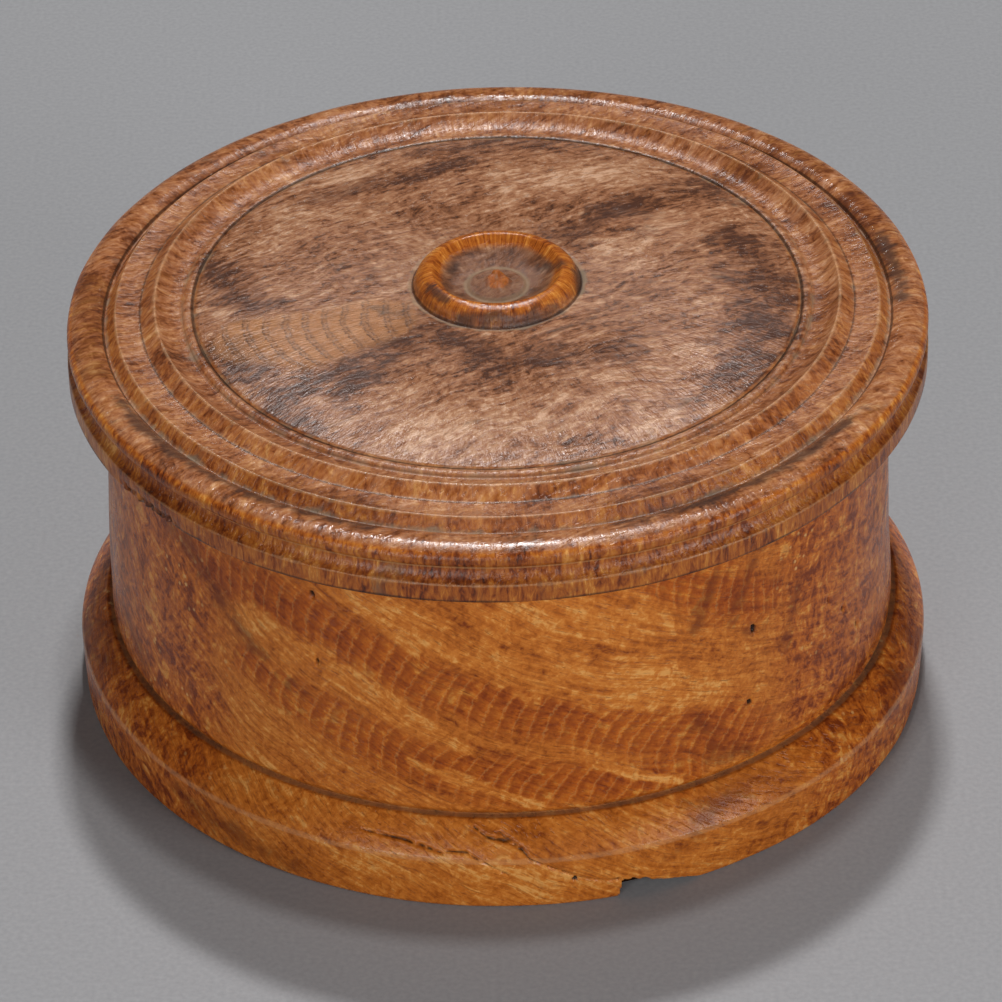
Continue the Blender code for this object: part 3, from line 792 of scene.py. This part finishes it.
# Figure of the lid in plan, each a line of (x, y, half width): dark bands and patches, pale patches, the
# pale patch that shows growth arcs, rough dark stretches of the roll, and dark stains on the knob.
DARK_BANDS = [
    [(-0.042, -0.037, 0.0080), (-0.026, -0.025, 0.0110), (-0.010, -0.012, 0.0090)],
    [(-0.034, -0.032, 0.0060), (-0.012, -0.014, 0.0060)],
    [(-0.032, -0.038, 0.0080), (-0.022, -0.030, 0.0070)],
    [(0.015, 0.017, 0.0070), (0.030, 0.032, 0.0085), (0.056, 0.046, 0.0090)],
    [(-0.016, 0.056, 0.0060), (0.010, 0.060, 0.0070)],
    [(0.050, 0.018, 0.0100), (0.058, -0.004, 0.0150), (0.046, -0.036, 0.0120)],
    [(-0.060, 0.012, 0.0090), (-0.050, -0.006, 0.0080)],
    [(-0.054, -0.020, 0.0080), (-0.040, -0.046, 0.0100)],
    [(-0.040, 0.036, 0.0060), (-0.008, 0.049, 0.0070)],
    [(-0.018, -0.014, 0.0060), (-0.004, -0.026, 0.0080)],
    [(0.000, -0.030, 0.0080), (0.024, -0.026, 0.0080)],
    [(0.074, 0.036, 0.0090), (0.080, 0.010, 0.0080)],
    [(-0.020, 0.080, 0.0070), (0.020, 0.082, 0.0070)],
    [(0.056, 0.060, 0.0100), (0.068, 0.050, 0.0080)],
    [(-0.084, 0.010, 0.0070), (-0.082, -0.024, 0.0080)],
    [(-0.050, -0.064, 0.0080), (-0.028, -0.076, 0.0080)],
    [(0.020, -0.078, 0.0080), (0.044, -0.068, 0.0080)],
]
PALE_PATCHES = [
    [(0.026, 0.010, 0.0120), (0.038, 0.022, 0.0140)],
    [(0.002, 0.043, 0.0110), (0.028, 0.042, 0.0130)],
    [(-0.048, 0.018, 0.0080), (-0.030, 0.050, 0.0090)],
    [(-0.014, -0.050, 0.0100), (0.030, -0.046, 0.0100)],
]
ARC_PATCH = [(-0.050, -0.017, 0.0100), (-0.038, -0.019, 0.0130), (-0.024, -0.013, 0.0100)]
ROLL_MARK_RADIUS = 0.0832
ROLL_MARK_HALF_WIDTH = 0.0032
seen = ~underneath & (lid_facing[..., 2] > 0)
roll_marks = []
for start, end in ((-66, -14), (16, 62), (88, 110)):
    turns = np.radians(np.arange(start, end + 1, 8))
    spots = ROLL_MARK_RADIUS * np.sin(turns), -ROLL_MARK_RADIUS * np.cos(turns)
    roll_marks.append([(x, y, ROLL_MARK_HALF_WIDTH) for x, y in zip(*spots)])
KNOB_STAINS = [
    [(-0.0145, -0.0050, 0.0016), (-0.0118, -0.0098, 0.0018), (-0.0105, -0.0112, 0.0014)],
    [(-0.0080, -0.0155, 0.0022), (0.0050, -0.0168, 0.0026), (0.0125, -0.0120, 0.0022)],
    [(0.0100, 0.0040, 0.0026), (0.0125, 0.0010, 0.0022)],
    [(0.0165, 0.0040, 0.0022), (0.0170, -0.0040, 0.0022)],
    [(-0.0085, 0.0060, 0.0018), (-0.0095, 0.0030, 0.0018)],
]
worn_highlit_edge = near(np.hypot(lid_radius - LID_RADIUS, above_seat - LID_EDGE_HEIGHT), 0, WORN_HIGHLIT_EDGE_REACH)
# Painted shadow: a dark uneven line along the bottom of the lid's edge, where it meets the box.
seam_shadow = (1 - smooth(above_seat, *SEAM_SHADOW_TOP)) * (lid_radius > LID_RADIUS - EDGE_BAND) * ~underneath
seam_shadow = seam_shadow * (0.85 + 0.9 * unevenness(lid_places, SEAM_SHADOW_WAVELENGTH, 8.0))
lid_marks = {
    "dust": np.clip(rings(DUST_RINGS), 0, 1) * seen,
    "burnt": traced(plan, DARK_BANDS) * seen,
    "bowled": (1 - smooth(lid_radius, *BOWL_EDGE)) * seen,
    "soiled": traced(plan, roll_marks + KNOB_STAINS) * seen,
    "ringed": np.clip(rings(KNOB_RING) * seen + nub * NUB_SHARE, 0, 1) * seen,
    "polished": np.clip(rings(POLISHED_RINGS), 0, 1) * seen,
    "pale": traced(plan, PALE_PATCHES) * seen,
    "arced": traced(plan, [ARC_PATCH]) * seen,
    # Worn arrises: pale rubbed wood with a painted highlight.
    "worn_and_highlit": np.clip(rings(WORN_HIGHLIT_RINGS) + worn_highlit_edge, 0, 1) * ~underneath,
    # Painted shade in the grooves and at the seam under the lid's edge, and a darker rough broken stretch.
    "shade_and_grime": np.clip(np.maximum(rough, np.maximum(rings(SHADE_RINGS) * seen, seam_shadow)), 0, 1),
    "bare": np.where(underneath, 1.0, 0.0),
}
nub_top = lid_line[0][1] + NUB_RISE * 0.6
lid_ends = [(LID_OFFSET, 0, nub_top), (LID_OFFSET, 0, lid_line[-1][1])]
lid = skinned("turned_lid", lid_places, lid_ends, lid_marks)


# Lid, its wood
# The same wood cut across, turned, scraped and waxed: the top shows its dull grey-brown end grain, and the
# steep sides of the mouldings show bright orange side grain with short dark stripes. Hands have polished the
# roll and the knob, and wax dust lies in the grooves.

LID_SHADES = [(0.00, "#4e2c1a"), (0.25, "#7f4f32"), (0.50, "#9e6a4a"), (0.75, "#b28260"), (1.00, "#d0a484")]
SIDE_SHADES = [(0.00, "#421a0a"), (0.25, "#7d3810"), (0.50, "#aa5b1e"), (0.75, "#c4772c"), (1.00, "#e4a254")]
LID_WEIGHTS = (("figure", 0.9), ("flames", 1.7), ("dashes", 1.1), ("bars", 0.5), ("mottle", 1.3))
SIDE_WEIGHTS = (("figure", 0.9), ("stripes", 1.5), ("bars", 0.9), ("mottle", 1.0))
LID_MIDDLE_SHADE = 0.48
SIDE_MIDDLE_SHADE = 0.5
LID_WANDER_SCALE = 35.0
FLAME_ANGLE = math.radians(-27)
ARC_SPACING = 0.0042
ARC_TOP = -0.0112
ARC_BOW = 26.0

lid_wood = bpy.data.materials.new("waxed_cross_cut_wood")
lid_wood.use_nodes = True
tree = lid_wood.node_tree
shader = tree.nodes["Principled BSDF"]
place = add(tree, "TexCoord").node.outputs["Object"]
wander = add(tree, "TexNoise", {"Vector": place, "Scale": LID_WANDER_SCALE, "Detail": 2.0})
wander = add(tree, "VectorMath", {0: wander.node.outputs["Color"], 1: [0.5] * 3}, operation="SUBTRACT")
wander = add(tree, "VectorMath", {0: wander, 1: [WANDER_REACH] * 3}, operation="MULTIPLY")
bent = add(tree, "VectorMath", {0: place, 1: wander}, operation="ADD")
flame = add(tree, "VectorRotate", {"Vector": bent, "Angle": FLAME_ANGLE}, rotation_type="Z_AXIS")
x, y, z = add(tree, "SeparateXYZ", {0: place}).node.outputs

# A space that follows the turning: round the lid, and outward and down its mouldings.
level = add(tree, "CombineXYZ", {0: x, 1: y})
out_from_axis = add(tree, "VectorMath", {0: level}, operation="LENGTH").node.outputs["Value"]
circle = add(tree, "VectorMath", {0: level}, operation="NORMALIZE")
circle = add(tree, "VectorMath", {0: circle, 1: (LID_RADIUS, LID_RADIUS, 0.0)}, operation="MULTIPLY")
outward_and_down = add(tree, "Math", {0: out_from_axis, 1: z}, operation="SUBTRACT")
round_x, round_y = add(tree, "SeparateXYZ", {0: circle}).node.outputs[:2]
turned = add(tree, "CombineXYZ", {0: round_x, 1: round_y, 2: outward_and_down})

# Patterns of the wood: the space each lies in, its length, width and depth in metres, detail and distortion.
lid_patterns = {}
for name, space, spread, detail, twist in (
    ("figure", flame, (0.026, 0.012, 0.030), 3.0, 0.3),
    ("flames", flame, (0.0062, 0.0018, 0.010), 5.0, 0.6),
    ("dashes", flame, (0.0022, 0.0006, 0.010), 3.0, 0.3),
    ("mottle", bent, (0.0016, 0.0016, 0.0100), 4.0, 0.8),
    ("fraying", flame, (0.0090, 0.0045, 0.0100), 6.0, 0.8),
    ("stripes", turned, (0.0010, 0.0010, 0.0036), 5.0, 0.9),
    ("bars", turned, (0.0055, 0.0055, 0.0150), 3.0, 0.6),
    ("clouds", place, (0.0160, 0.0160, 0.0160), 3.0, 0.0),
    ("dots", place, (0.0007, 0.0007, 0.0040), 1.0, 0.0),
):
    scaled = add(tree, "VectorMath", {0: space, 1: [1 / size for size in spread]}, operation="MULTIPLY")
    settings = {"Vector": scaled, "Scale": 1.0, "Detail": detail, "Roughness": 0.6, "Distortion": twist}
    lid_patterns[name] = add(tree, "TexNoise", settings)

# Where each mark shows: how much the mottle frays its edge, and the shares at which it starts and is full.
lid_shares = {}
for name, fray, start, full in (
    ("burnt", 2.4, 0.05, 1.10),
    ("soiled", 2.6, 0.15, 0.95),
    ("pale", 2.0, 0.05, 1.00),
    ("arced", 0.5, 0.10, 0.35),
    ("bowled", 1.2, 0.20, 0.80),
    ("ringed", 0.8, 0.20, 0.70),
    ("polished", 0.8, 0.20, 0.80),
    ("worn_and_highlit", 2.4, 0.40, 0.90),
    ("shade_and_grime", 0.6, 0.20, 0.80),
    ("dust", 1.8, 0.25, 0.90),
    ("bare", 0.0, 0.40, 0.60),
):
    mark = add(tree, "Attribute", attribute_name=name).node.outputs["Fac"]
    frayed = add(tree, "Math", {0: lid_patterns["fraying"], 1: fray, 2: mark}, operation="MULTIPLY_ADD")
    reach = {"Value": frayed, "From Min": start + fray / 2, "From Max": full + fray / 2}
    lid_shares[name] = add(tree, "MapRange", reach, interpolation_type="SMOOTHSTEP")

shade = LID_MIDDLE_SHADE - sum(weight for pattern, weight in LID_WEIGHTS) / 2
for pattern, weight in LID_WEIGHTS:
    shade = add(tree, "Math", {0: lid_patterns[pattern], 1: weight, 2: shade}, operation="MULTIPLY_ADD")
shade = add(tree, "Math", {0: lid_shares["pale"], 1: 0.24, 2: shade}, operation="MULTIPLY_ADD")
shade = add(tree, "Math", {0: lid_shares["burnt"], 1: -0.38, 2: shade}, operation="MULTIPLY_ADD")
top_colour = add(tree, "ValToRGB", {0: shade}, LID_SHADES)
side_shade = SIDE_MIDDLE_SHADE - sum(weight for pattern, weight in SIDE_WEIGHTS) / 2
for pattern, weight in SIDE_WEIGHTS:
    weighed = {0: lid_patterns[pattern], 1: weight, 2: side_shade}
    side_shade = add(tree, "Math", weighed, operation="MULTIPLY_ADD")
side_colour = add(tree, "ValToRGB", {0: side_shade}, SIDE_SHADES)

# Side grain shows where the surface is steep and faces outward, on the knob's ring, and weakly on the rings.
turned_normal = add(tree, "TexCoord").node.outputs["Normal"]
upward = add(tree, "SeparateXYZ", {0: turned_normal}).node.outputs[2]
upward = add(tree, "Math", {0: upward}, operation="ABSOLUTE")
steep = {"Value": upward, "From Min": 0.95, "From Max": 0.70}
steep = add(tree, "MapRange", steep, interpolation_type="SMOOTHSTEP")
outward = add(tree, "VectorMath", {0: turned_normal, 1: circle}, operation="DOT_PRODUCT")
outward = outward.node.outputs["Value"]
outward = {"Value": outward, "From Min": -0.01 * LID_RADIUS, "From Max": 0.2 * LID_RADIUS}
outward = add(tree, "MapRange", outward, interpolation_type="SMOOTHSTEP")
steep = add(tree, "Math", {0: steep, 1: outward}, operation="MULTIPLY")
on_rings = {"Value": out_from_axis, "From Min": dome_rim, "From Max": bead_edge, "To Max": 0.30}
on_rings = add(tree, "MapRange", on_rings, interpolation_type="SMOOTHSTEP")
past_rings = {"Value": out_from_axis, "From Min": list_edge, "From Max": roll_centre[0], "To Min": 0.62}
past_rings = add(tree, "MapRange", past_rings, interpolation_type="SMOOTHSTEP")
steep = add(tree, "Math", {0: steep, 1: past_rings}, operation="MULTIPLY")
steep = add(tree, "Math", {0: steep, 1: on_rings}, operation="MAXIMUM")
steep = add(tree, "Math", {0: steep, 1: lid_shares["ringed"]}, operation="MAXIMUM")

# Growth arcs in the pale patch: chains of dark pores every 4.2 mm.
below = add(tree, "Math", {0: y, 1: ARC_TOP}, operation="SUBTRACT")
below = add(tree, "Math", {0: below, 1: 0.0}, operation="MINIMUM")
bow = add(tree, "Math", {0: below, 1: below}, operation="MULTIPLY")
arc_place = add(tree, "Math", {0: bow, 1: -ARC_BOW, 2: x}, operation="MULTIPLY_ADD")
arc_place = add(tree, "Math", {0: arc_place, 1: ARC_SPACING}, operation="DIVIDE")
arc_place = add(tree, "Math", {0: lid_patterns["clouds"], 1: 0.9, 2: arc_place}, operation="MULTIPLY_ADD")
arc_place = add(tree, "Math", {0: lid_patterns["dots"], 1: 0.35, 2: arc_place}, operation="MULTIPLY_ADD")
arc_place = add(tree, "Math", {0: arc_place}, operation="FRACT")
arc_stops = [(0.0, 0.0), (0.10, 1.0), (0.22, 0.15), (0.34, 0.8), (0.46, 0.0)]
arc_line = add(tree, "ValToRGB", {0: arc_place}, arc_stops)
pore_dots = {"Value": lid_patterns["dots"], "From Min": 0.40, "From Max": 0.60, "To Min": 0.45}
pore_dots = add(tree, "MapRange", pore_dots, interpolation_type="SMOOTHSTEP")
arc_line = add(tree, "Math", {0: arc_line, 1: pore_dots}, operation="MULTIPLY")
arc_line = add(tree, "Math", {0: arc_line, 1: lid_shares["arced"]}, operation="MULTIPLY")
dashes = {"Value": lid_patterns["dashes"], "From Min": 0.58, "From Max": 0.74}
dashes = add(tree, "MapRange", dashes, interpolation_type="SMOOTHSTEP")

not_ring = add(tree, "Math", {0: 1.0, 1: lid_shares["ringed"]}, operation="SUBTRACT")
bowl_wood = add(tree, "Math", {0: lid_shares["bowled"], 1: not_ring}, operation="MULTIPLY")

# The layers of colour from the wood up to the dust: where each shows, how strongly, and its colour.
colour = top_colour
for share, strength, paint in (
    (lid_shares["arced"], 0.70, "#b47a4a"),
    (arc_line, 0.90, "#543626"),
    (lid_shares["burnt"], 0.35, "#50342a"),
    (dashes, 0.55, "#54301c"),
    (steep, 1.0, side_colour),
    (bowl_wood, 0.45, "#5c3a28"),
    (lid_shares["soiled"], 0.75, "#40302a"),
    # Pale tan on the arrises: rubbed wood with a painted highlight.
    (lid_shares["worn_and_highlit"], 0.20, "#e6b886"),
    (lid_shares["dust"], 0.48, "#a8957a"),
    # Dark: painted shade in the grooves and under the lid's edge, and a darker rough broken stretch.
    (lid_shares["shade_and_grime"], 0.75, "#2c1a10"),
    (lid_shares["bare"], 0.45, "#b48a5a"),
):
    factor = add(tree, "Math", {0: share, 1: strength}, operation="MULTIPLY")
    colour = add(tree, "Mix", {0: factor, 6: colour, 7: paint}, data_type="RGBA")
tree.links.new(colour, shader.inputs["Base Color"])

# Sheen of the wax: patchy, brightest on the roll and the knob that hands polish, and matt in dust.
gloss = {"Value": lid_patterns["clouds"], "From Min": 0.3, "From Max": 0.7, "To Min": 0.20, "To Max": 0.36}
gloss = add(tree, "MapRange", gloss)
gloss = add(tree, "Math", {0: lid_shares["polished"], 1: -0.10, 2: gloss}, operation="MULTIPLY_ADD")
gloss = add(tree, "Math", {0: gloss, 1: 0.10}, operation="MAXIMUM")
matt = add(tree, "Math", {0: lid_shares["dust"], 1: lid_shares["bare"]}, operation="MAXIMUM")
gloss = add(tree, "Math", {0: matt, 1: 0.4, 2: gloss}, operation="MULTIPLY_ADD")
tree.links.new(gloss, shader.inputs["Roughness"])
relief = add(tree, "Math", {0: dashes, 1: -0.8, 2: lid_patterns["flames"]}, operation="MULTIPLY_ADD")
relief = add(tree, "Math", {0: lid_patterns["stripes"], 1: 0.9, 2: relief}, operation="MULTIPLY_ADD")
smoothed = {"Value": lid_shares["polished"], "To Min": 0.45, "To Max": 0.16}
smoothed = add(tree, "MapRange", smoothed)
bump = add(tree, "Bump", {"Strength": smoothed, "Distance": 0.0005, "Height": relief})
tree.links.new(bump, shader.inputs["Normal"])
shader.inputs["Specular IOR Level"].default_value = 0.45
lid.data.materials.append(lid_wood)
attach(lid, "lid")
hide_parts("lid")


# Studio floor
# A sheet of smooth grey paper, wider than any view of the box. It is matt, so the box leaves a soft shadow
# on it and no reflection. Its real fibres are far finer than the faint mottle drawn here.

FLOOR_HALF_WIDTH = 3.0
FIBRES_PER_METRE = 900.0

floor_mesh = bpy.data.meshes.new("paper_floor")
corners = [(-1, -1), (1, -1), (1, 1), (-1, 1)]
corners = [(x * FLOOR_HALF_WIDTH, y * FLOOR_HALF_WIDTH, 0) for x, y in corners]
floor_mesh.from_pydata(corners, [], [(0, 1, 2, 3)])
paper_floor = bpy.data.objects.new("paper_floor", floor_mesh)
bpy.context.scene.collection.objects.link(paper_floor)
paper = bpy.data.materials.new("grey_paper")
paper.use_nodes = True
tree = paper.node_tree
shader = tree.nodes["Principled BSDF"]
spot = add(tree, "TexCoord").node.outputs["Object"]
fibres = add(tree, "TexNoise", {"Vector": spot, "Scale": FIBRES_PER_METRE, "Detail": 2.0})
paper_colour = add(tree, "Mix", {0: fibres, 6: "#8b8b8d", 7: "#a0a0a2"}, data_type="RGBA")
tree.links.new(paper_colour, shader.inputs["Base Color"])
shader.inputs["Roughness"].default_value = 0.9
floor_mesh.materials.append(paper)


# Studio light
# Two small bright lamps, high behind the box and overhead, and two soft ones low in front, in a grey room.

def lamp(name, azimuth, elevation, distance, size, power):
    """A square soft lamp aimed at the box; azimuth in degrees from the front, right-hand side positive."""
    light = bpy.data.lights.new(name, "AREA")
    light.size = size
    light.energy = power
    piece = bpy.data.objects.new(name, light)
    turn, rise = math.radians(azimuth), math.radians(elevation)
    way = Vector((math.sin(turn) * math.cos(rise), -math.cos(turn) * math.cos(rise), math.sin(rise)))
    piece.location = way * distance
    piece.rotation_euler = way.to_track_quat("Z", "Y").to_euler()
    bpy.context.scene.collection.objects.link(piece)


lamp("back_lamp", 180, 70.5, 2.0, 0.12, 23.5)
lamp("overhead_lamp", 160, 85, 2.0, 0.12, 9.0)
lamp("left_front_lamp", -22, 19, 1.5, 0.6, 6.0)
lamp("right_front_lamp", 48, 20, 1.5, 0.6, 7.5)
world = bpy.data.worlds.new("grey_room")
world.use_nodes = True
world.node_tree.nodes["Background"].inputs["Color"].default_value = linear("#c8c8ca")
world.node_tree.nodes["Background"].inputs["Strength"].default_value = 0.09
bpy.context.scene.world = world


# Camera
# A long lens at the photograph's angle, tipped very slightly.

LENS = 165.5
SENSOR = 36.0
CAMERA_DISTANCE = 0.979
CAMERA_ELEVATION = math.radians(34.52)
CAMERA_ROLL = -0.01294
AIM_HEIGHT = 0.0377

camera_data = bpy.data.cameras.new("camera")
camera_data.lens = LENS
camera_data.sensor_width = SENSOR
camera = bpy.data.objects.new("camera", camera_data)
back = Vector((0, -math.cos(CAMERA_ELEVATION), math.sin(CAMERA_ELEVATION)))
level_up = Vector((0, math.sin(CAMERA_ELEVATION), math.cos(CAMERA_ELEVATION)))
side = Vector((1, 0, 0)) * math.cos(CAMERA_ROLL) + level_up * math.sin(CAMERA_ROLL)
up = level_up * math.cos(CAMERA_ROLL) - Vector((1, 0, 0)) * math.sin(CAMERA_ROLL)
eye = Vector((0, 0, AIM_HEIGHT)) + back * CAMERA_DISTANCE
facing = Matrix((side, up, back)).transposed().to_4x4()
camera.matrix_world = Matrix.Translation(eye) @ facing
bpy.context.scene.collection.objects.link(camera)
bpy.context.scene.camera = camera
bpy.context.scene.view_settings.view_transform = "Standard"
